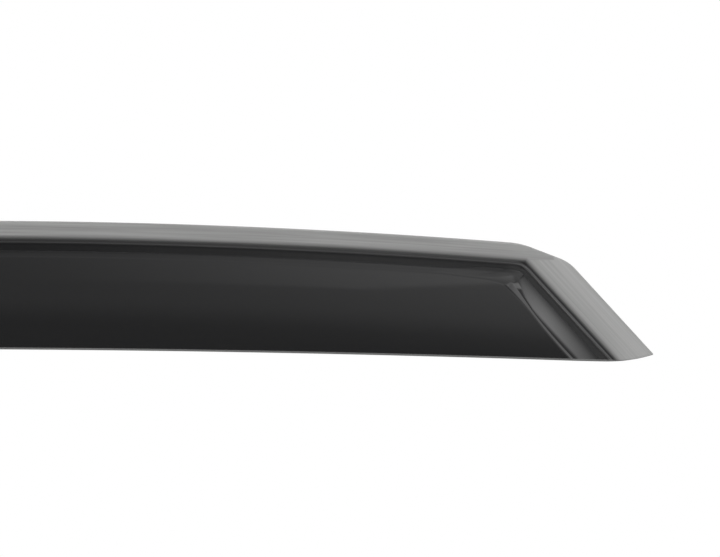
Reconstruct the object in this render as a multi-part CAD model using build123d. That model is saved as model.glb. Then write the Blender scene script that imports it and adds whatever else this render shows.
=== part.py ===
"""Rain and wind deflector for a car's side window, one piece of moulded smoked acrylic.

A thin flange on three sides slips into the window channel. From it the sheet steps out over a
rounded shoulder to a crowned panel that hangs in front of the glass, open at the back and below.

Frame: millimetres, X along the deflector towards its slanted end, Z up, outside of the car at -Y.
The origin is on the flange's back face, at mid-height under the crown of the top edge.
"""

import os
from math import asin, cos, degrees, hypot, radians, sin, sqrt, tan

from build123d import *

# Outline, seen from outside. Lengths along it are measured from the crown of the top edge.
SLANTED_TIP = 361.8  # lowest tip of the slanted end, as a sharp corner
UPRIGHT_TIP = 278.5  # that of the upright end, the other way
TIP_DROP = 69.0  # both tips, below the crown
SLANT_ANGLE = 47.5  # slanted end, from the horizontal
UPRIGHT_ANGLE = 80.0  # upright end, from the horizontal
TOP_ARCH_RADIUS = 3667.0
HEIGHT = 66.5  # top edge to bottom edge, at the crown
BOTTOM_ARCH_RADIUS = 10500.0
BOTTOM_ARCH_SHIFT = 36.0  # crown of the bottom arch, towards the upright end

# Flange in the window channel
FLANGE_THICKNESS = 1.6
FLANGE_HEIGHT = 10.6  # along the top, down to the foot of the shoulder
END_FLANGE_WIDTH = 18.6  # along both ends
CORNER_CUT_START = 293.0  # where the slanted end's corner is cut off
CORNER_CUT_ANGLE = 21.0
CORNER_CUT_TOP_RADIUS = 40.0  # round from the top edge into the cut
CORNER_CUT_END_RADIUS = 22.0  # round from the cut into the slanted end
UPRIGHT_CORNER_RADIUS = 22.0
TAIL_START = 336.5  # where the slanted flange's lower edge starts to turn up
TAIL_RADIUS = 76.0
TIP_RADIUS = 1.0  # both tips, in the flange's plane

# Shoulder and panel
WALL = 3.0  # sheet thickness
TOP_WALL_ANGLE = 64.0  # shoulder, from the flange's plane
CREST_STAND_OFF = 15.0  # flange's back face to the shoulder's crest
EDGE_STAND_OFF = 17.6  # flange's back face to the panel's bottom edge
PANEL_RADIUS = 240.0
END_WALL_RADIUS = 39.0  # the end walls start at the shoulder's angle and flatten towards the panel
HIP_RADIUS = 14.0  # round between the shoulder and the end walls
RIM_RADIUS = 6.0  # round along the panel's edge, over the crest and down both ends
ROOT_RADIUS = 2.0  # hollow round at the foot of the shoulder
MOUTH_RADIUS = 3.0  # round at the back, where the hollow opens
EDGE_RADIUS = 0.7  # free edges, front and back

# How far the construction solids run past the finished part
BEYOND = 60.0
BEHIND = 12.0
BELOW = 12.0
TOLERANCE = 0.001

TOP = FLANGE_HEIGHT / 2
FOOT = -FLANGE_HEIGHT / 2
BOTTOM = TOP - HEIGHT
TIP = TOP - TIP_DROP
ARCH_CENTRE = TOP - TOP_ARCH_RADIUS
ARCH_AXIS = Axis((0, 0, ARCH_CENTRE), (0, 1, 0))
OUTWARD = Vector(0, -1, 0)


def heading(angle):
    """Unit vector in the flange's plane, at an angle from +X towards +Z."""
    return Vector(cos(radians(angle)), 0, sin(radians(angle)))


SLANTED_END = (Vector(SLANTED_TIP, 0, TIP), heading(180 - SLANT_ANGLE), heading(270 - SLANT_ANGLE))
UPRIGHT_END = (Vector(-UPRIGHT_TIP, 0, TIP), heading(UPRIGHT_ANGLE), heading(UPRIGHT_ANGLE - 90))


def arch_height(x):
    """Height of the top edge at x."""
    return ARCH_CENTRE + sqrt(TOP_ARCH_RADIUS**2 - x**2)


def arch_crossing(tip, up):
    """Where an end's outer edge, drawn up from its tip, meets the arch of the top edge."""
    centre = Vector(0, 0, ARCH_CENTRE)
    reach = (tip - centre).dot(up)
    clear = (tip - centre).length ** 2 - TOP_ARCH_RADIUS**2
    return tip + up * (sqrt(reach**2 - clear) - reach)


def line_crossing(point, way, other, other_way):
    """Where two lines in the flange's plane meet."""
    gap = other - point
    turn = way.X * other_way.Z - way.Z * other_way.X
    return point + way * ((gap.X * other_way.Z - gap.Z * other_way.X) / turn)


def flange_plate():
    """The flange before it is opened: a thin plate of the whole outline, drawn on below the tips."""
    slanted_tip, slanted_up, _ = SLANTED_END
    upright_tip, upright_up, _ = UPRIGHT_END
    cut_start = Vector(CORNER_CUT_START, 0, arch_height(CORNER_CUT_START))
    cut_end = line_crossing(cut_start, heading(-CORNER_CUT_ANGLE), slanted_tip, slanted_up)
    slanted_foot = slanted_tip - slanted_up * BEYOND
    upright_foot = upright_tip - upright_up * BEYOND
    upright_top = arch_crossing(upright_tip, upright_up)
    outline = make_face(
        [
            ThreePointArc(upright_top, (0, 0, TOP), cut_start),
            Polyline(cut_start, cut_end, slanted_foot, upright_foot, upright_top),
        ]
    )
    for point, radius in (
        (cut_start, CORNER_CUT_TOP_RADIUS),
        (cut_end, CORNER_CUT_END_RADIUS),
        (upright_top, UPRIGHT_CORNER_RADIUS),
    ):
        outline = fillet(outline.vertices().sort_by_distance(point)[0], radius)
    return extrude(outline, FLANGE_THICKNESS, dir=OUTWARD)


def top_section(inset):
    """Section of the shoulder and the panel at the crown, as a filled face, drawn in by inset."""
    # The shoulder's line, from behind the flange down and outwards
    slope = radians(TOP_WALL_ANGLE)
    foot = Vector(0, -FLANGE_THICKNESS, FOOT) + Vector(0, cos(slope), -sin(slope)) * inset
    down = Vector(0, -sin(slope), -cos(slope))
    behind = foot - down * ((BEHIND - foot.Y) / -down.Y)
    # The panel's arc, through the crest and the bottom edge
    crest = Vector(0, -CREST_STAND_OFF, FOOT - (CREST_STAND_OFF - FLANGE_THICKNESS) / tan(slope))
    edge = Vector(0, -EDGE_STAND_OFF, BOTTOM)
    chord = edge - crest
    across = Vector(0, -chord.Z, chord.Y).normalized()
    centre = (crest + edge) / 2 + across * sqrt(PANEL_RADIUS**2 - (chord.length / 2) ** 2)
    radius = PANEL_RADIUS - inset

    def on_arc(z):
        return Vector(0, centre.Y - sqrt(radius**2 - (z - centre.Z) ** 2), z)

    reach = (foot - centre).dot(down)
    inset_crest = foot + down * (sqrt(reach**2 - (foot - centre).length ** 2 + radius**2) - reach)
    lowest = on_arc(BOTTOM - 2 * BELOW)
    middle = on_arc((inset_crest.Z + lowest.Z) / 2)
    return make_face(
        [
            Line(behind, inset_crest),
            ThreePointArc(inset_crest, middle, lowest),
            Polyline(lowest, (0, BEHIND, lowest.Z), behind),
        ]
    )


def end_section(inset):
    """What lies past an end wall: X inwards from the wall's foot, Y outwards, drawn in by inset."""
    steep = radians(TOP_WALL_ANGLE)
    centre = Vector(sin(steep), -cos(steep)) * END_WALL_RADIUS + Vector(0, FLANGE_THICKNESS)
    radius = END_WALL_RADIUS - inset

    def on_wall(y):
        return Vector(centre.X - sqrt(radius**2 - (y - centre.Y) ** 2), y)

    behind = on_wall(-BEHIND)
    summit = centre + Vector(0, radius)
    past = -2 * BEYOND
    return make_face(
        [
            ThreePointArc(behind, on_wall(FLANGE_THICKNESS), summit),
            Polyline(summit, (summit.X, BEYOND), (past, BEYOND), (past, behind.Y), behind),
        ]
    )


def end_cut(end, inset):
    """Everything past one end wall, as a prism along it."""
    tip, _, inwards = end
    foot_line = Plane(tip + inwards * END_FLANGE_WIDTH, x_dir=inwards, z_dir=inwards.cross(OUTWARD))
    return extrude(foot_line * end_section(inset), TIP_DROP + BEYOND, both=True)


def off_the_ends(edges):
    """The edges that bound the visible form, not where the construction solids stop behind or below."""

    def from_arch(point):
        return hypot(point.X, point.Z - ARCH_CENTRE)

    lowest = BOTTOM - 2 * BELOW - ARCH_CENTRE
    kept = [edge for edge in edges if max(from_arch(v) for v in edge.vertices()) > lowest + 1]
    return ShapeList(edge for edge in kept if min(v.Y for v in edge.vertices()) < BEHIND - 1)


def raised_form(inset):
    """The whole raised form, filled, with its ends closed and rounded, drawn in by inset."""
    to_upright = degrees(asin((UPRIGHT_TIP + BEYOND) / TOP_ARCH_RADIUS))
    to_slanted = degrees(asin((SLANTED_TIP + BEYOND) / TOP_ARCH_RADIUS))
    section = top_section(inset).rotate(ARCH_AXIS, -to_upright)
    form = revolve(section, ARCH_AXIS, to_upright + to_slanted)
    for end in (SLANTED_END, UPRIGHT_END):
        past_end = end_cut(end, inset)
        closed = form - past_end
        hip = off_the_ends(new_edges(form, past_end, combined=closed)).sort_by(Axis.Y)[-1]
        form = fillet(hip, HIP_RADIUS - inset)
    panel = form.faces().sort_by(Axis.Y)[0]
    return fillet(off_the_ends(panel.edges()), RIM_RADIUS - inset)


def bottom_limit():
    """Everything above the bottom edge, as a deep prism."""
    centre = BOTTOM - BOTTOM_ARCH_RADIUS

    def on_arch(x):
        return Vector(x, 0, centre + sqrt(BOTTOM_ARCH_RADIUS**2 - (x + BOTTOM_ARCH_SHIFT) ** 2))

    start = on_arch(-UPRIGHT_TIP - BEYOND)
    tail = on_arch(TAIL_START)
    # The tail's arc leaves the arch along its tangent, so both centres and the start are in line
    out_of_arch = (tail - Vector(-BOTTOM_ARCH_SHIFT, 0, centre)).normalized()
    tail_centre = tail + out_of_arch * TAIL_RADIUS

    def on_tail(x):
        return Vector(x, 0, tail_centre.Z - sqrt(TAIL_RADIUS**2 - (x - tail_centre.X) ** 2))

    tail_end = on_tail(TAIL_START + TAIL_RADIUS / 2)
    outline = make_face(
        [
            ThreePointArc(start, on_arch(0), tail),
            ThreePointArc(tail, on_tail(TAIL_START + TAIL_RADIUS / 4), tail_end),
            Polyline(tail_end, (tail_end.X, 0, BEYOND), (start.X, 0, BEYOND), start),
        ]
    )
    return extrude(outline, BEYOND, both=True)


def upper(shape):
    """What lies above the level where the construction solids are trimmed alike."""
    return split(shape, Plane.XY.offset(BOTTOM - BELOW), keep=Keep.TOP)


def above_the_trim(edges):
    """The edges that don't lie in that trimming plane."""
    return edges.filter_by(lambda edge: edge.bounding_box().max.Z > BOTTOM - BELOW / 2)


# The flange and the raised form, joined by a hollow round
plate = upper(flange_plate())
raised = upper(split(raised_form(0), Plane.XZ, keep=Keep.TOP))
body = plate + raised
body = fillet(above_the_trim(new_edges(plate, raised, combined=body)), ROOT_RADIUS)

# The hollow behind the panel, with its mouth rounded
hollow = raised_form(WALL)
opened = body - hollow
body = fillet(above_the_trim(new_edges(body, hollow, combined=opened)), MOUTH_RADIUS)

# The bottom edge, with the tip at each end of it rounded
deflector = body & bottom_limit()
for tip, _, _ in (SLANTED_END, UPRIGHT_END):
    tip_edge = deflector.edges().filter_by(Axis.Y).sort_by_distance(tip)[0]
    deflector = fillet(tip_edge, TIP_RADIUS)

# Every free edge is rounded, front and back. The narrow faces that they bound stand square to the flange.
free_faces = deflector.faces().filter_by(lambda face: abs(face.normal_at().Y) < TOLERANCE)
free_edges = ShapeList(edge for face in free_faces for edge in face.edges())
deflector = fillet(free_edges.filter_by(Axis.Y, reverse=True), EDGE_RADIUS)

os.makedirs("parts", exist_ok=True)
deflector.label = "deflector"
export_step(deflector, "parts/deflector.step")
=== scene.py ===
from math import asin, atan2, cos, hypot, pi, radians, sin, sqrt, tan

import bpy
import numpy as np
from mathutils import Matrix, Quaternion, Vector


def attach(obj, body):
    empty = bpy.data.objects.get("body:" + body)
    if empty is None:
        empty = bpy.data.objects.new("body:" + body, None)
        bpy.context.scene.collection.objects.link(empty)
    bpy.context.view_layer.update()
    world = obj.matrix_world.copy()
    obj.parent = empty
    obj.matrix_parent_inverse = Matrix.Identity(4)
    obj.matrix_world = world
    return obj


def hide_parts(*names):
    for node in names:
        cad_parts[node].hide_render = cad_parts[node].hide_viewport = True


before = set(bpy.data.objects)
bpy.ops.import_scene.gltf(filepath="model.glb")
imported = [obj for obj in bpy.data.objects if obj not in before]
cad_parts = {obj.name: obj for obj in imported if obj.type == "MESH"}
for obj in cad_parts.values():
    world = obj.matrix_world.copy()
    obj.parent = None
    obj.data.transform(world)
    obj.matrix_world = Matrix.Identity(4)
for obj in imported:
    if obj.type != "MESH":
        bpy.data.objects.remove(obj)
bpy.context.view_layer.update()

# The deflector: one sheet of smoked acrylic, pressed hot over a form. Its flange is milled thin and
# matt, to slip into the window channel, and a round shoulder carries the crowned panel out from it.
# No operator rolls its rounds into one another at the corners, so its points are placed by rule.
MM = 0.001

# Outline, in millimetres from the flange's middle under the crown of the top edge
CROWN = 5.3
ARCH_RADIUS = 3667.0
ARCH_CENTRE = CROWN - ARCH_RADIUS
BOTTOM_CROWN = -61.2
BOTTOM_RADIUS = 10500.0
BOTTOM_CENTRE = BOTTOM_CROWN - BOTTOM_RADIUS
BOTTOM_SHIFT = 36.0
TAIL_START = 336.5
TAIL_RADIUS = 76.0
TIP_HEIGHT = -63.7
SLANTED_TIP = 361.8
SLANT = radians(47.5)
UPRIGHT_TIP = -278.5
LEAN = radians(80.0)
CORNER_CUT_START = 293.0
CORNER_CUT_SLOPE = radians(21.0)
CORNER_CUT_TOP_RADIUS = 40.0
CORNER_CUT_END_RADIUS = 22.0
UPRIGHT_CORNER_RADIUS = 22.0

# Section: thicknesses, stand-offs from the flange's back face, slopes and rounds
FLANGE = 1.6
FOOT = -5.3
FLANGE_HEIGHT = CROWN - FOOT
END_FLANGE = 18.6
WALL = 3.0
SHOULDER_SLOPE = radians(64.0)
CREST_STAND_OFF = 15.0
EDGE_STAND_OFF = 17.6
PANEL_RADIUS = 240.0
END_WALL_RADIUS = 39.0
HIP_RADIUS = 14.0
ROOT_RADIUS = 2.0
MOUTH_RADIUS = 3.0
EDGE_RADIUS = 0.7

# The panel's rim: of one radius, but tight down the slanted wall and drawn wide under its hip. The
# spans are depths in from that wall's foot, and lengths up along it from the tip.
RIM_RADIUS = 6.0
SLANTED_RIM_RADIUS = 3.6
SLANTED_RIM_DEPTHS = (16.0, 30.0)
HIP_DRAW = 16.0
HIP_DRAW_LENGTHS = (56.0, 77.0)


def way(angle):
    """Unit direction in the flange's plane, from +X towards +Z."""
    return np.array((cos(angle), sin(angle)))


slanted_tip, upright_tip = np.array((SLANTED_TIP, TIP_HEIGHT)), np.array((UPRIGHT_TIP, TIP_HEIGHT))
slanted_up, slanted_in = way(pi - SLANT), way(1.5 * pi - SLANT)
upright_up, upright_in = way(LEAN), way(LEAN - pi / 2)


def depth_in(x, z, tip, inwards):
    """Distance in from the foot of an end wall."""
    return (x - tip[0]) * inwards[0] + (z - tip[1]) * inwards[1] - END_FLANGE


def length_up(x, z, tip, up):
    """Distance up along an end, from its tip."""
    return (x - tip[0]) * up[0] + (z - tip[1]) * up[1]


def panel_centre():
    """Centre of the panel's arc in the section, as stand-off and height."""
    crest = np.array((CREST_STAND_OFF, FOOT - (CREST_STAND_OFF - FLANGE) / tan(SHOULDER_SLOPE)))
    edge = np.array((EDGE_STAND_OFF, BOTTOM_CROWN))
    chord = edge - crest
    length = hypot(*chord)
    across = np.array((chord[1], -chord[0])) / length
    return (crest + edge) / 2 + across * sqrt(PANEL_RADIUS**2 - (length / 2) ** 2)


def arch_level(x, z):
    """Height above the arch of the top edge, brought to where it would be at the arch's crown."""
    return ARCH_CENTRE + np.hypot(x, z - ARCH_CENTRE)


def shoulder_form(inset):
    """Stand-off of the shoulder, which follows the arch of the top edge."""

    def height(x, z):
        drop = FOOT - inset * sin(SHOULDER_SLOPE) - arch_level(x, z)
        return FLANGE - inset * cos(SHOULDER_SLOPE) + drop * tan(SHOULDER_SLOPE)

    return height


def panel_form(inset):
    """Stand-off of the crowned panel, which follows the same arch."""
    centre = panel_centre()

    def height(x, z):
        return centre[0] + np.sqrt((PANEL_RADIUS - inset) ** 2 - (arch_level(x, z) - centre[1]) ** 2)

    return height


def end_form(tip, inwards, inset):
    """Stand-off of an end wall, which rises from its foot along the end and flattens inwards."""
    radius = END_WALL_RADIUS - inset
    middle = END_WALL_RADIUS * sin(SHOULDER_SLOPE)
    base = FLANGE - END_WALL_RADIUS * cos(SHOULDER_SLOPE)
    level = 0.0 if inset else FLANGE
    foot = middle - sqrt(radius**2 - (level - base) ** 2)
    foot_slope = (middle - foot) / (level - base)

    def height(x, z):
        depth = depth_in(x, z, tip, inwards)
        on_wall = np.clip(depth, foot, middle)
        before_foot = np.minimum(depth - foot, 0) * foot_slope
        return base + np.sqrt(radius**2 - (on_wall - middle) ** 2) + before_foot

    return height


def rolled(first, second, radius):
    """The lower of two surfaces, with a round of this radius rolled along the ridge between them.
    The radius is a number, or a rule that gives it by place."""
    step = 0.02
    least_square, least_spread = 1e-9, 1e-5

    def grade(form, x, z):
        across = (form(x + step, z) - form(x - step, z)) / (2 * step)
        up = (form(x, z + step) - form(x, z - step)) / (2 * step)
        return across, up, 1 / np.sqrt(1 + across**2 + up**2)

    def height(x, z):
        ball_radius = radius(x, z) if callable(radius) else radius
        a, b = first(x, z), second(x, z)
        a_across, a_up, a_face = grade(first, x, z)
        b_across, b_up, b_face = grade(second, x, z)
        likeness = a_face * b_face * (1 + a_across * b_across + a_up * b_up)
        spread = 1 - likeness**2
        # The ball's centre lies one radius under both faces, and its top one radius from the centre
        u, v = ball_radius - a * a_face, ball_radius - b * b_face
        square = a_face**2 + b_face**2 - 2 * a_face * b_face * likeness
        linear = u * a_face + v * b_face - likeness * (u * b_face + v * a_face)
        fixed = u**2 + v**2 - 2 * u * v * likeness - ball_radius**2 * spread
        inner = linear**2 - square * fixed
        ball = (np.sqrt(np.maximum(inner, 0)) - linear) / np.maximum(square, least_square)
        to_a, to_b = u + a_face * ball, v + b_face * ball
        between = (to_a > to_b * likeness) & (to_b > to_a * likeness)
        on_ball = between & (spread > least_spread) & (inner > 0)
        return np.where(on_ball, ball, np.minimum(a, b))

    return height


def share_of(value, ends):
    """Share of the way from the first end to the second."""
    return np.clip((value - ends[0]) / (ends[1] - ends[0]), 0, 1)


def rim_radius(inset):
    """Radius of the panel's rim by place."""

    def radius(x, z):
        length = length_up(x, z, slanted_tip, slanted_up)
        depth = depth_in(x, z, slanted_tip, slanted_in)
        slanted = SLANTED_RIM_RADIUS + HIP_DRAW * share_of(length, HIP_DRAW_LENGTHS) ** 2
        return slanted + (RIM_RADIUS - slanted) * share_of(depth, SLANTED_RIM_DEPTHS) - inset

    return radius


def skin(inset):
    """Stand-off of the whole front for no inset, or of the whole back for the sheet's thickness."""
    form = rolled(shoulder_form(inset), end_form(slanted_tip, slanted_in, inset), HIP_RADIUS - inset)
    form = rolled(form, end_form(upright_tip, upright_in, inset), HIP_RADIUS - inset)
    form = rolled(form, panel_form(inset), rim_radius(inset))
    level, radius = (0.0, MOUTH_RADIUS) if inset else (FLANGE, ROOT_RADIUS)
    filled = rolled(lambda x, z: -form(x, z), lambda x, z: -level + 0 * x, radius)
    return lambda x, z: -filled(x, z)


def arch(x):
    """Height of the top edge's arch."""
    return ARCH_CENTRE + np.sqrt(ARCH_RADIUS**2 - np.asarray(x) ** 2)


def bottom(x):
    """Height of the bottom edge, which turns up along the slanted end's flange."""

    def arched(at):
        return BOTTOM_CENTRE + np.sqrt(BOTTOM_RADIUS**2 - (at + BOTTOM_SHIFT) ** 2)

    start = np.array((TAIL_START, arched(TAIL_START)))
    out = (start - np.array((-BOTTOM_SHIFT, BOTTOM_CENTRE))) / BOTTOM_RADIUS
    centre = start + out * TAIL_RADIUS
    tail = centre[1] - np.sqrt(TAIL_RADIUS**2 - (np.maximum(x, TAIL_START) - centre[0]) ** 2)
    return np.where(x > TAIL_START, tail, arched(x))


def crossing(point, direction, other, other_direction):
    """Where two lines in the flange's plane meet."""
    turn = direction[0] * other_direction[1] - direction[1] * other_direction[0]
    gap = other - point
    return point + direction * ((gap[0] * other_direction[1] - gap[1] * other_direction[0]) / turn)


# The outer edge as a line of points, which runs on a little past both tips
CORNER_POINTS = 24
ARCH_POINTS = 160
CLEAR_OF_UPRIGHT_CORNER = 20.0
CLEAR_OF_CORNER_CUT = 8.0
PAST_TIP = 5.0
SETTLING_STEPS = 6


def corner(point, into, out, radius):
    """Points along the round of a corner, for the directions of the edges into and out of it."""
    turn = atan2(into[0] * out[1] - into[1] * out[0], into @ out)
    start = point - into * radius * tan(abs(turn) / 2)
    side = np.array((-into[1], into[0])) * np.sign(turn)
    steps = np.linspace(0, abs(turn), CORNER_POINTS)
    return [start + radius * (into * sin(a) + side * (1 - cos(a))) for a in steps]


def outline():
    """The flange's outer edge, from the upright end's tip over the top to the slanted end's tip."""
    cut_start = np.array((CORNER_CUT_START, arch(CORNER_CUT_START)))
    cut = way(-CORNER_CUT_SLOPE)
    cut_end = crossing(cut_start, cut, slanted_tip, slanted_up)
    x = UPRIGHT_TIP
    for _ in range(SETTLING_STEPS):
        x = upright_tip[0] + (arch(x) - TIP_HEIGHT) / tan(LEAN)
    upright_top = np.array((x, arch(x)))
    arch_end = CORNER_CUT_START - CLEAR_OF_CORNER_CUT
    arch_x = np.linspace(x + CLEAR_OF_UPRIGHT_CORNER, arch_end, ARCH_POINTS)

    def along_arch(at):
        return way(-asin(at / ARCH_RADIUS))

    points = [upright_tip - PAST_TIP * upright_up]
    points += corner(upright_top, upright_up, along_arch(x), UPRIGHT_CORNER_RADIUS)
    points += [np.array((at, arch(at))) for at in arch_x]
    points += corner(cut_start, along_arch(CORNER_CUT_START), cut, CORNER_CUT_TOP_RADIUS)
    points += corner(cut_end, cut, -slanted_up, CORNER_CUT_END_RADIUS)
    points += [slanted_tip - PAST_TIP * slanted_up]
    return np.array(points)


edge_line = outline()
edge_length = np.concatenate(([0], np.cumsum(np.hypot(*np.diff(edge_line, axis=0).T))))
edge_level = ARCH_RADIUS - np.hypot(edge_line[:, 0], edge_line[:, 1] - ARCH_CENTRE)
edge_middle = len(edge_line) // 2


def on_edge(length):
    """Points of the outer edge at lengths along it."""
    return np.stack([np.interp(length, edge_length, edge_line[:, k]) for k in (0, 1)], axis=-1)


# Lines across the sheet: depth in from each end wall's foot, close together at the rounds
across_flange = [-END_FLANGE] + list(np.linspace(-17.4, -2.4, 14))
across_root = list(np.arange(-1.6, 1.1, 0.18))
across_wall = list(np.arange(1.5, 11.0, 0.55)) + list(np.arange(11.2, 16.6, 0.27))
across_panel = [17.0, 17.4, 17.8, 18.3, 19.0, 19.7, 20.6, 21.6, 22.8, 25.0, 28.0, 31.5, 36.0, 42.0]
end_lines = np.array(across_flange + across_root + across_wall + across_panel)
MIDDLE_LINES = 110

# Lines along the sheet: distance down from the top edge, then evenly on to the last line, which lies
# close above the bottom edge
below_edge = [0.0, 1.2, 2.8, 4.6, 6.2, 7.2, 8.0, 8.7]
below_edge += list(np.arange(9.3, 11.4, 0.18)) + list(np.arange(11.7, 14.4, 0.6))
below_edge += list(np.arange(14.6, 22.6, 0.36)) + [23.2, 24.2, 25.6, 27.4, 29.6, 32.0]
below_edge = np.array(below_edge)
LOWER_LINES = 15
LAST_LINE = 1.3

BOTTOM_POINTS = 6000
PAST_END = 8.0
bottom_x = np.linspace(UPRIGHT_TIP - PAST_END, SLANTED_TIP + PAST_END, BOTTOM_POINTS)
bottom_line = np.stack((bottom_x, bottom(bottom_x)), axis=-1)


def line_ends(tip, up, inwards):
    """Both ends of each line that runs along an end: on the top edge's arch and on the bottom edge."""
    tops, lows = [], []
    for depth in end_lines:
        start = tip + inwards * (depth + END_FLANGE)
        centre = start - np.array((0, ARCH_CENTRE))
        reach = centre @ up
        tops.append(start + up * (sqrt(reach**2 - centre @ centre + ARCH_RADIUS**2) - reach))
        past = (bottom_line - start) @ inwards
        order = np.argsort(past)
        low_x = np.interp(0, past[order], bottom_x[order])
        lows.append(np.array((low_x, bottom(low_x))))
    return np.array(tops), np.array(lows)


upright_tops, upright_lows = line_ends(upright_tip, upright_up, upright_in)
slanted_tops, slanted_lows = line_ends(slanted_tip, slanted_up, slanted_in)
share = np.linspace(0, 1, MIDDLE_LINES + 2)[1:-1]
top_x = upright_tops[-1, 0] + share * (slanted_tops[-1, 0] - upright_tops[-1, 0])
low_x = upright_lows[-1, 0] + share * (slanted_lows[-1, 0] - upright_lows[-1, 0])
tops = np.concatenate((upright_tops, np.stack((top_x, arch(top_x)), -1), slanted_tops[::-1]))
lows = np.concatenate((upright_lows, np.stack((low_x, bottom(low_x)), -1), slanted_lows[::-1]))
columns, rows = len(tops), len(below_edge) + LOWER_LINES

# Lines within this reach of the top edge are drawn down where a corner takes some of it off
CORNER_REACH = 7.2
CORNER_LEAST_ROOM = 1.0


def place_lines():
    """Place of every point of the sheet in the flange's plane, by line across and line along."""
    run = lows - tops
    start = tops - np.array((0, ARCH_CENTRE))
    square, linear = (run**2).sum(-1), (start * run).sum(-1)

    def at_level(level):
        fixed = (start**2).sum(-1) - (ARCH_RADIUS - level) ** 2
        return (-linear - np.sqrt(linear**2 - square * fixed)) / square

    taken_off = np.zeros(columns)
    for near, inwards, tip, half in (
        (range(columns // 2), upright_in, upright_tip, slice(0, edge_middle)),
        (range(columns // 2, columns), slanted_in, slanted_tip, slice(edge_middle, None)),
    ):
        past = (edge_line[half] - tip) @ inwards
        order = np.argsort(past)
        for i in near:
            level = np.interp((tops[i] - tip) @ inwards, past[order], edge_level[half][order])
            taken_off[i] = max(0, level)
    taken_off = np.minimum(taken_off, CORNER_REACH - CORNER_LEAST_ROOM)
    place = np.zeros((columns, rows, 2))
    for j, level in enumerate(below_edge):
        drawn_down = taken_off + level * (CORNER_REACH - taken_off) / CORNER_REACH
        level = np.where(level < CORNER_REACH, drawn_down, level)
        place[:, j] = tops + run * at_level(level)[:, None]
    lower = at_level(below_edge[-1])
    last = 1 - LAST_LINE / (tops[:, 1] - lows[:, 1])
    for k in range(LOWER_LINES - 1):
        part = lower + (last - lower) * (k + 1) / (LOWER_LINES - 1)
        place[:, len(below_edge) + k] = tops + run * part[:, None]
    place[:, -1] = tops + run
    return place


# The flange's corners: how far below the top edge their lines are spread afresh, the share of the
# outer edge that belongs to the top, and the room that inner points leave for the edge's round
SLANTED_CORNER_DOWN, SLANTED_CORNER_SHARE = 12.3, 0.6
UPRIGHT_CORNER_DOWN, UPRIGHT_CORNER_SHARE = 19.6, 0.5
EDGE_ROOM = 1.1
EDGE_POINTS = 60000


def fill_corner(place, inner, outer, down, top_share):
    """Spreads the lines of a flange corner inside its rounded outline. The flange is flat there."""
    levels = int(np.argmin(abs(below_edge - down)))
    fine = np.linspace(0, edge_length[-1], EDGE_POINTS)
    fine_line = on_edge(fine)
    facing = np.gradient(fine_line, axis=0)
    facing = np.stack((facing[:, 1], -facing[:, 0]), -1) / np.hypot(*facing.T)[:, None]

    def nearest(point):
        return np.argmin(np.hypot(*(fine_line - point).T))

    top_length, side_length = fine[nearest(place[inner, 0])], fine[nearest(place[outer, levels])]
    middle_length = top_length + (side_length - top_length) * top_share
    step = 1 if outer > inner else -1
    line = range(inner, outer + step, step)
    left, low = place[inner, : levels + 1].copy(), place[list(line), levels]
    a = np.hypot(*(low - low[0]).T) / np.hypot(*(low[-1] - low[0]))
    b = np.hypot(*(left - left[0]).T) / np.hypot(*(left[-1] - left[0]))
    top = on_edge(np.linspace(top_length, middle_length, len(line)))
    side = on_edge(np.linspace(middle_length, side_length, levels + 1))
    for k, i in enumerate(line):
        for j in range(levels + 1):
            between = (1 - b[j]) * top[k] + b[j] * low[k] + (1 - a[k]) * left[j] + a[k] * side[j]
            corners = (1 - a[k]) * ((1 - b[j]) * top[0] + b[j] * left[-1])
            corners += a[k] * ((1 - b[j]) * top[-1] + b[j] * low[-1])
            place[i, j] = between - corners
            if j > 0 and i != outer:
                at = nearest(place[i, j])
                gap = hypot(*(place[i, j] - fine_line[at]))
                place[i, j] = fine_line[at] + facing[at] * hypot(gap, EDGE_ROOM)


place = place_lines()
inner_flange, last_column = len(across_flange) - 1, columns - 1
fill_corner(place, last_column - inner_flange, last_column, SLANTED_CORNER_DOWN, SLANTED_CORNER_SHARE)
fill_corner(place, inner_flange, 0, UPRIGHT_CORNER_DOWN, UPRIGHT_CORNER_SHARE)

# A flat grid is laid out, and its points are drawn to the sheet's front; a copy becomes its back
bpy.ops.object.select_all(action="DESELECT")
bpy.ops.mesh.primitive_grid_add(x_subdivisions=columns - 1, y_subdivisions=rows - 1, size=1)
deflector = bpy.context.object
deflector.name = "deflector_sheet"
bpy.ops.object.duplicate()
back = bpy.context.object
for sheet, inset in ((deflector, 0.0), (back, WALL)):
    flat = np.empty(len(sheet.data.vertices) * 3)
    sheet.data.vertices.foreach_get("co", flat)
    flat = flat.reshape(-1, 3)
    i = np.rint((flat[:, 0] + 0.5) * (columns - 1)).astype(int)
    j = np.rint((0.5 - flat[:, 1]) * (rows - 1)).astype(int)
    x, z = place[i, j, 0], place[i, j, 1]
    formed = np.stack((x, -skin(inset)(x, z), z), axis=-1) * MM
    sheet.data.vertices.foreach_set("co", formed.ravel())
    sheet.data.update()

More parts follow.
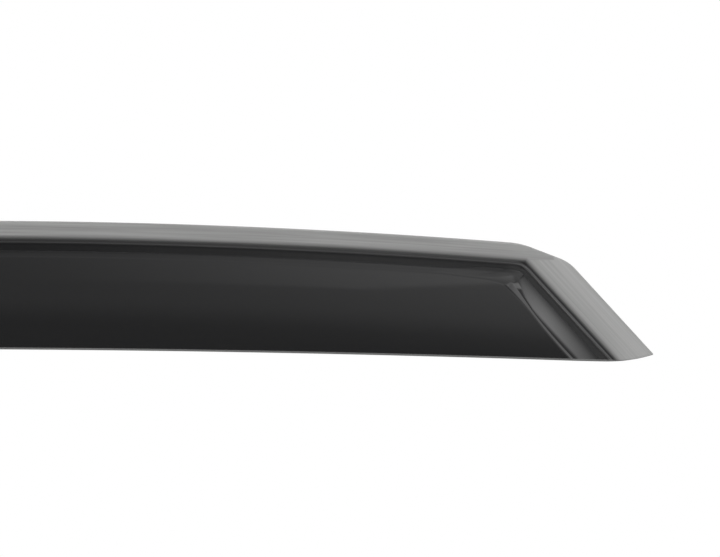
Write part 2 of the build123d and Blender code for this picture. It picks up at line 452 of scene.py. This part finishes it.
# The two are joined along the rim, and every free edge is rounded
SHARP_EDGE = radians(50)
EDGE_SEGMENTS = 4
bpy.ops.object.select_all(action="DESELECT")
back.select_set(True)
bpy.ops.object.mode_set(mode="EDIT")
bpy.ops.mesh.select_all(action="SELECT")
bpy.ops.mesh.flip_normals()
bpy.ops.object.mode_set(mode="OBJECT")
deflector.select_set(True)
bpy.context.view_layer.objects.active = deflector
bpy.ops.object.join()
bpy.ops.object.mode_set(mode="EDIT")
bpy.ops.mesh.select_mode(type="EDGE")
bpy.ops.mesh.select_all(action="DESELECT")
bpy.ops.mesh.select_non_manifold(
    extend=False,
    use_wire=False,
    use_boundary=True,
    use_multi_face=False,
    use_non_contiguous=False,
    use_verts=False,
)
bpy.ops.mesh.bridge_edge_loops()
bpy.ops.mesh.select_all(action="SELECT")
bpy.ops.mesh.normals_make_consistent(inside=False)
bpy.ops.mesh.select_all(action="DESELECT")
bpy.ops.mesh.edges_select_sharp(sharpness=SHARP_EDGE)
bpy.ops.mesh.bevel(offset=EDGE_RADIUS * MM, segments=EDGE_SEGMENTS, profile=0.5, affect="EDGES")
bpy.ops.mesh.select_all(action="DESELECT")
bpy.ops.object.mode_set(mode="OBJECT")
bpy.ops.object.shade_smooth()


class Shade:
    """A shader value. Arithmetic on it adds Math nodes, and any other node comes from make."""

    def __init__(self, tree, socket=None):
        self.tree = tree
        self.socket = socket

    def make(self, kind, settings, sockets, output=0):
        node = self.tree.nodes.new(kind)
        for name, setting in settings.items():
            setattr(node, name, setting)
        for name, value in sockets.items():
            if isinstance(value, Shade):
                self.tree.links.new(value.socket, node.inputs[name])
            else:
                node.inputs[name].default_value = value
        return Shade(self.tree, node.outputs[output])

    def feed(self, node, name):
        """Links this value to a socket of a node that is there already."""
        self.tree.links.new(self.socket, self.tree.nodes[node].inputs[name])

    def maths(self, operation, *others):
        sockets = {k: value for k, value in enumerate((self, *others))}
        return self.make("ShaderNodeMath", {"operation": operation}, sockets)

    def __add__(self, other):
        return self.maths("ADD", other)

    def __sub__(self, other):
        return self.maths("SUBTRACT", other)

    def __rsub__(self, other):
        return self.make("ShaderNodeMath", {"operation": "SUBTRACT"}, {0: other, 1: self})

    def __mul__(self, other):
        return self.maths("MULTIPLY", other)

    __radd__, __rmul__ = __add__, __mul__

    def lower(self, other):
        return self.maths("MINIMUM", other)

    def higher(self, other):
        return self.maths("MAXIMUM", other)

    def ramp(self, start, end):
        """From 0 at start to 1 at end, smoothly."""
        sockets = {"Value": self, "From Min": start, "From Max": end}
        return self.make("ShaderNodeMapRange", {"interpolation_type": "SMOOTHSTEP"}, sockets)


smoked_acrylic = bpy.data.materials.new("smoked_acrylic")
smoked_acrylic.use_nodes = True
acrylic = Shade(smoked_acrylic.node_tree)
surface = smoked_acrylic.node_tree.nodes["Principled BSDF"]
spot = acrylic.make("ShaderNodeTexCoord", {}, {}, "Object")
spot_x, spot_y, spot_z = (
    acrylic.make("ShaderNodeSeparateXYZ", {}, {0: spot}, k) * (1 / MM) for k in range(3)
)


def reach_of(across, up):
    """Distance in the flange's plane."""
    return (across * across + up * up).maths("SQRT")


# Where a spot lies: down from the top edge, up from the bottom edge, in from both ends' feet, and on
# the front or the back
FRONT_FADE = (-1.2, -0.4)
below_top = ARCH_RADIUS - reach_of(spot_x, spot_z - ARCH_CENTRE)
above_bottom = reach_of(spot_x + BOTTOM_SHIFT, spot_z - BOTTOM_CENTRE) - BOTTOM_RADIUS
in_slanted = depth_in(spot_x, spot_z, slanted_tip, slanted_in)
in_upright = depth_in(spot_x, spot_z, upright_tip, upright_in)
in_end = in_slanted.lower(in_upright)
on_front = 1 - spot_y.ramp(*FRONT_FADE)

# The flange is milled on its front, up to the roots, and the bottom edge is trimmed by the same cutter
# and painted pale as a highlight along its round
TOP_ROOT_SHIFT = 0.6
MILLED_FADE = (-4.6, -1.1)
TRIMMED_AND_HIGHLIT_FADE = (0.7, 1.2)
past_foot = (below_top - FLANGE_HEIGHT - TOP_ROOT_SHIFT).lower(in_end)
milled_and_highlit = (1 - past_foot.ramp(*MILLED_FADE)) * on_front
trimmed_and_highlit = 1 - above_bottom.ramp(*TRIMMED_AND_HIGHLIT_FADE)
milled_and_highlit = milled_and_highlit.higher(trimmed_and_highlit)

# A painted highlight: a faint pale line runs along the root of the shoulder and the end walls
ROOT_HIGHLIGHT_START, ROOT_HIGHLIGHT_END = (-0.3, 0.3), (0.5, 1.2)
ROOT_HIGHLIGHT_SHARE = 0.08
from_foot = (below_top - FLANGE_HEIGHT).lower(in_end)
root_highlight = from_foot.ramp(*ROOT_HIGHLIGHT_START) * (1 - from_foot.ramp(*ROOT_HIGHLIGHT_END)) * on_front
milled_and_highlit = milled_and_highlit.higher(root_highlight * ROOT_HIGHLIGHT_SHARE)

# The cutter's lines: how often they change in a millimetre along and across, and how strong they are
FINE_LINES, FINE_DETAIL, FINE_ROUGHNESS, FINE_SHARE = (0.012, 0.95), 3.0, 0.6, 0.65
BROAD_LINES, BROAD_DETAIL, BROAD_ROUGHNESS, BROAD_SHARE = (0.004, 0.3), 1.0, 0.5, 0.35
BROAD_SEED = 7.3
TOP_SEED, SLANTED_SEED, UPRIGHT_SEED = 1.0, 4.0, 9.0
SLANTED_CONTRAST, SLANTED_LEVEL = 0.65, 0.175


def streaks(along, across, often, detail, roughness, seed):
    """Noise that is drawn out along the cutter's way."""
    at = acrylic.make("ShaderNodeCombineXYZ", {}, {0: along * often[0], 1: across * often[1], 2: seed})
    sockets = {"Vector": at, "Scale": 1.0, "Detail": detail, "Roughness": roughness}
    return acrylic.make("ShaderNodeTexNoise", {}, sockets)


def cutter_lines(along, across, seed):
    """Lines of uneven depth: fine ones, and the broader passes of the cutter."""
    fine = streaks(along, across, FINE_LINES, FINE_DETAIL, FINE_ROUGHNESS, seed)
    broad = streaks(along, across, BROAD_LINES, BROAD_DETAIL, BROAD_ROUGHNESS, seed + BROAD_SEED)
    return fine * FINE_SHARE + broad * BROAD_SHARE


# They run along each side of the flange. The slanted end's pass lies below its top and beyond its
# side, and the upright end's starts on the corner's diagonal.
PASS_TOP = -15.1
PASS_EDGE = 0.4
PASS_SIDE = (309.8, 310.8)
PASS_FOOT = (-0.5, 1.5)
on_slanted = 1 - spot_z.ramp(PASS_TOP - PASS_EDGE, PASS_TOP + PASS_EDGE)
on_slanted = on_slanted.higher(spot_x.ramp(*PASS_SIDE)) * (1 - in_slanted.ramp(*PASS_FOOT))
on_upright = (in_upright - below_top + FLANGE_HEIGHT).ramp(PASS_EDGE, -PASS_EDGE)
along_slanted = length_up(spot_x, spot_z, slanted_tip, slanted_up)
along_upright = length_up(spot_x, spot_z, upright_tip, upright_up)
top_lines = cutter_lines(spot_x, below_top, TOP_SEED)
slanted_lines = cutter_lines(along_slanted, in_slanted, SLANTED_SEED) * SLANTED_CONTRAST + SLANTED_LEVEL
upright_lines = cutter_lines(along_upright, in_upright, UPRIGHT_SEED)
lines = top_lines + (slanted_lines - top_lines) * on_slanted
lines = lines + (upright_lines - lines) * on_upright

# The milled skin is pale and a little paler on the slanted end, where painted shade darkens it towards
# that end's foot, and the gloss skin is nearly black
GLOSS_TINT = (0.0115, 0.0115, 0.012, 1)
MILLED_TONE, LINE_TONE = 0.125, 0.45
SLANTED_PALER, SLANTED_FOOT_SHADE = 0.07, 0.06
SLANTED_FOOT_SHADE_FADE = (-14.0, -4.0)
TRIMMED_HIGHLIGHT_TONE = 0.17
MILLED_BLUE = 0.99
MIX_FACTOR, MIX_FIRST, MIX_SECOND, MIX_RESULT = 0, 6, 7, 2
# Painted shade: the slanted end's flange is darkened towards its foot
slanted_paler_and_foot_shade = SLANTED_PALER - in_slanted.ramp(*SLANTED_FOOT_SHADE_FADE) * SLANTED_FOOT_SHADE
tone = (MILLED_TONE + lines * LINE_TONE) + on_slanted * slanted_paler_and_foot_shade
# Painted highlight: the matt trimmed bottom edge is given a pale tone along its round
tone = tone + (TRIMMED_HIGHLIGHT_TONE - tone) * trimmed_and_highlit
milled_tint = acrylic.make("ShaderNodeCombineColor", {}, {0: tone, 1: tone, 2: tone * MILLED_BLUE})
# The mix factor holds the milled skin and the painted highlights along the roots and the bottom edge
tints = {MIX_FACTOR: milled_and_highlit, MIX_FIRST: GLOSS_TINT, MIX_SECOND: milled_tint}
tint = acrylic.make("ShaderNodeMix", {"data_type": "RGBA"}, tints, MIX_RESULT)

# The gloss has fine scuffs, and the milled skin is matt, with shallow grooves
SCUFFS = {"Scale": 60.0, "Detail": 4.0, "Roughness": 0.6}
SCUFF_FADE = (0.45, 0.8)
GLOSS_ROUGHNESS, SCUFF_ROUGHNESS, MILLED_ROUGHNESS = 0.035, 0.03, 0.62
GROOVE_DEPTH, GROOVE_STRENGTH = 0.05 * MM, 0.25
ACRYLIC_IOR = 1.49
scuffs = acrylic.make("ShaderNodeTexNoise", {}, {"Vector": spot, **SCUFFS})
gloss = GLOSS_ROUGHNESS + scuffs.ramp(*SCUFF_FADE) * SCUFF_ROUGHNESS
rough = gloss + (MILLED_ROUGHNESS - gloss) * milled_and_highlit
groove_sockets = {"Strength": GROOVE_STRENGTH, "Distance": GROOVE_DEPTH, "Height": lines * milled_and_highlit}
grooves = acrylic.make("ShaderNodeBump", {}, groove_sockets)
tint.feed("Principled BSDF", "Base Color")
rough.feed("Principled BSDF", "Roughness")
grooves.feed("Principled BSDF", "Normal")
surface.inputs["IOR"].default_value = ACRYLIC_IOR

# Painted shade on the shoulder: its gloss is mixed with a near-black matt skin, most towards the
# upright end, so that it mirrors the pale flange as faintly as in the photograph
SHOULDER_ROOT_FADE, SHOULDER_CREST_FADE, SHOULDER_END_FADE = (11.0, 12.0), (15.0, 16.4), (2.0, 9.0)
SHOULDER_SHADE_SHARE, SHOULDER_SHADE_LOST = 0.86, 0.44
SHOULDER_SHADE_FADE = (0.0, 260.0)
shoulder_shade = acrylic.make("ShaderNodeBsdfDiffuse", {}, {"Color": GLOSS_TINT})
on_shoulder = below_top.ramp(*SHOULDER_ROOT_FADE) * (1 - below_top.ramp(*SHOULDER_CREST_FADE))
on_shoulder = on_shoulder * in_slanted.ramp(*SHOULDER_END_FADE) * in_upright.ramp(*SHOULDER_END_FADE)
shoulder_shade_share = on_shoulder * (SHOULDER_SHADE_SHARE - spot_x.ramp(*SHOULDER_SHADE_FADE) * SHOULDER_SHADE_LOST)
glossy = Shade(smoked_acrylic.node_tree, surface.outputs[0])
both = acrylic.make("ShaderNodeMixShader", {}, {0: shoulder_shade_share, 1: glossy, 2: shoulder_shade})
both.feed("Material Output", "Surface")
deflector.data.materials.append(smoked_acrylic)

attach(deflector, "root")
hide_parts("deflector")

# The floor: a wide sweep of matt white paper, well below the deflector, which hangs free above it
# as its window channel would hold it. Close by it keeps the shadow, and further back it is the
# white background.
FLOOR_LEVEL = -0.26
FLOOR_SIZE = (9.0, 5.7, 1.0)
FLOOR_SHIFT = (0.05, 2.2, FLOOR_LEVEL)
UNDER_DEFLECTOR = (0.05, 0, FLOOR_LEVEL)
PAPER_TONE, PAPER_GRAIN, PAPER_ROUGHNESS = 0.84, 0.04, 0.9
GRAIN = {"Scale": 400.0, "Detail": 3.0}
WHITE = (1, 1, 1, 1)
GLOW_CLOSE_BY, GLOW_GAINED = 0.6, 0.4
GLOW_FADE = (0.5, 1.3)
bpy.ops.object.select_all(action="DESELECT")
bpy.ops.mesh.primitive_plane_add(size=1, location=(0, 0, 0))
floor = bpy.context.object
floor.name = "floor"
bpy.ops.object.mode_set(mode="EDIT")
bpy.ops.mesh.select_all(action="SELECT")
bpy.ops.transform.resize(value=FLOOR_SIZE)
bpy.ops.transform.translate(value=FLOOR_SHIFT)
bpy.ops.object.mode_set(mode="OBJECT")
white_paper = bpy.data.materials.new("white_paper")
white_paper.use_nodes = True
paper = Shade(white_paper.node_tree)
paper_surface = white_paper.node_tree.nodes["Principled BSDF"]
paper_spot = paper.make("ShaderNodeTexCoord", {}, {}, "Object")
grain = paper.make("ShaderNodeTexNoise", {}, {"Vector": paper_spot, **GRAIN})
paper_tone = PAPER_TONE + grain * PAPER_GRAIN
paper_tint = paper.make("ShaderNodeCombineColor", {}, {0: paper_tone, 1: paper_tone, 2: paper_tone})
paper_tint.feed("Principled BSDF", "Base Color")
paper_surface.inputs["Roughness"].default_value = PAPER_ROUGHNESS
away = paper.make(
    "ShaderNodeVectorMath", {"operation": "DISTANCE"}, {0: paper_spot, 1: UNDER_DEFLECTOR}, "Value"
)
seen = paper.make("ShaderNodeLightPath", {}, {}, "Is Camera Ray")
for ray in ("Is Glossy Ray", "Is Transmission Ray"):
    seen = seen.higher(paper.make("ShaderNodeLightPath", {}, {}, ray))
glow_share = seen * (GLOW_CLOSE_BY + away.ramp(*GLOW_FADE) * GLOW_GAINED)
glow = paper.make("ShaderNodeEmission", {}, {"Color": WHITE, "Strength": 1.0})
lit = Shade(white_paper.node_tree, paper_surface.outputs[0])
paper_blend = paper.make("ShaderNodeMixShader", {}, {0: glow_share, 1: lit, 2: glow})
paper_blend.feed("Material Output", "Surface")
floor.data.materials.append(white_paper)

# The studio: a dim room, darker below and behind the deflector than above and in front of it. Its
# back wall is white, and the camera sees that white all round.
ROOM_BELOW, ROOM_GAINED_ABOVE, ROOM_LOST_BEHIND = 0.2, 0.17, 0.62
ABOVE_FADE, BEHIND_FADE = (0.0, 0.12), (-0.02, 0.22)
WALL_FADE, WALL_TOP_FADE = (0.55, 0.85), (0.1, 0.4)
world = bpy.data.worlds.new("studio")
bpy.context.scene.world = world
world.use_nodes = True
room = Shade(world.node_tree)
direction = room.make("ShaderNodeTexCoord", {}, {}, "Generated")
to_back, to_top = (room.make("ShaderNodeSeparateXYZ", {}, {0: direction}, k) for k in (1, 2))
room_light = ROOM_BELOW + to_top.ramp(*ABOVE_FADE) * ROOM_GAINED_ABOVE
room_light = room_light * (1 - to_back.ramp(*BEHIND_FADE) * ROOM_LOST_BEHIND)
white_wall = to_back.ramp(*WALL_FADE) * (1 - to_top.ramp(*WALL_TOP_FADE))
camera_ray, glossy_ray, through_ray = (
    room.make("ShaderNodeLightPath", {}, {}, ray)
    for ray in ("Is Camera Ray", "Is Glossy Ray", "Is Transmission Ray")
)
white_share = (glossy_ray.higher(through_ray) * white_wall).higher(camera_ray)
(room_light + white_share * (1 - room_light)).feed("Background", "Strength")
world.node_tree.nodes["Background"].inputs["Color"].default_value = WHITE

# The lamps: softboxes round the slanted end, whose level fades towards their edges. The bank above
# the camera and the card in front shade the panel. The key, the side box and the corner box draw the
# end wall and its ridge, the ceiling lights the crest and the hip, and the fill the flange.
AIM = Vector((0.27, 0.0, -0.03))


def softbox(name, azimuth, elevation, distance, size, level, fades, turn=0.0, flag=(1.0, 0.0)):
    """A lamp seen from the slanted end in this direction, with fades in from its left, right, lower
    and upper edge, as shares of its size. A flag covers its lower right corner: it starts at a share
    of the width and climbs by a slope."""
    azimuth, elevation = radians(azimuth), radians(elevation)
    toward = Vector((sin(azimuth) * cos(elevation), -cos(azimuth) * cos(elevation), sin(elevation)))
    lamp_data = bpy.data.lights.new(name, "AREA")
    lamp_data.shape = "RECTANGLE"
    lamp_data.size, lamp_data.size_y = size
    lamp_data.energy = level * pi * size[0] * size[1]
    lamp_data.use_nodes = True
    lamp = bpy.data.objects.new(name, lamp_data)
    bpy.context.scene.collection.objects.link(lamp)
    lamp.location = AIM + toward * distance
    lamp.rotation_mode = "QUATERNION"
    lamp.rotation_quaternion = toward.to_track_quat("Z", "Y") @ Quaternion((0, 0, 1), radians(turn))
    lamp.visible_camera = False
    face = Shade(lamp_data.node_tree)
    face_spot = face.make("ShaderNodeNewGeometry", {}, {}, "Parametric")
    along, up = (face.make("ShaderNodeSeparateXYZ", {}, {0: face_spot}, k) for k in (0, 1))
    flag_start, flag_slope = flag
    up = up - (along - flag_start).higher(0.0) * flag_slope
    left, right, low, top = fades
    fade = along.ramp(0, left) * along.ramp(1, 1 - right) * up.ramp(0, low) * up.ramp(1, 1 - top)
    fade.feed("Emission", "Strength")


softbox(
    "bank", azimuth=20.6, elevation=47, distance=2.0, size=(2.86, 2.8), level=0.63,
    fades=(0.385, 0.2, 0.02, 0.68), flag=(0.18, 0.85),
)
softbox(
    "card", azimuth=24, elevation=8, distance=2.0, size=(2.9, 1.3), level=0.78,
    fades=(0.42, 0.2, 0.75, 0.2),
)
softbox(
    "key", azimuth=38, elevation=29, distance=1.6, size=(0.95, 0.7), level=1.9,
    fades=(0.12, 0.06, 0.12, 0.25), turn=30,
)
softbox(
    "side_box", azimuth=93.4, elevation=36.5, distance=0.7, size=(0.65, 0.16), level=3.55,
    fades=(0.16, 0.93, 0.83, 0.42),
)
softbox(
    "ceiling", azimuth=83.5, elevation=72, distance=1.7, size=(2.07, 3.6), level=0.9,
    fades=(0.41, 0.05, 0.9, 0.5), turn=-75,
)
softbox(
    "corner_box", azimuth=64, elevation=43.3, distance=1.2, size=(0.5, 0.075), level=2.0,
    fades=(0.1, 0.1, 0.15, 0.4),
)
softbox(
    "fill", azimuth=-52, elevation=32, distance=1.8, size=(1.5, 1.5), level=3.6,
    fades=(0.3, 0.3, 0.3, 0.3),
)

# The camera stands level in front of the panel, 2.5 m away on a long lens, so that the upright end
# runs out of the picture at the left.
CAMERA_DISTANCE = 2.5
CAMERA_ALONG, CAMERA_HEIGHT = 0.20956, -0.02474
FRAME_WIDTH = 0.3744
SENSOR_WIDTH = 36.0
camera_data = bpy.data.cameras.new("camera")
camera = bpy.data.objects.new("camera", camera_data)
bpy.context.scene.collection.objects.link(camera)
camera.location = (CAMERA_ALONG, -CAMERA_DISTANCE, CAMERA_HEIGHT)
camera.rotation_euler = (pi / 2, 0, 0)
camera_data.sensor_width = SENSOR_WIDTH
camera_data.lens = SENSOR_WIDTH * CAMERA_DISTANCE / FRAME_WIDTH
bpy.context.scene.camera = camera
bpy.context.scene.view_settings.view_transform = "Standard"
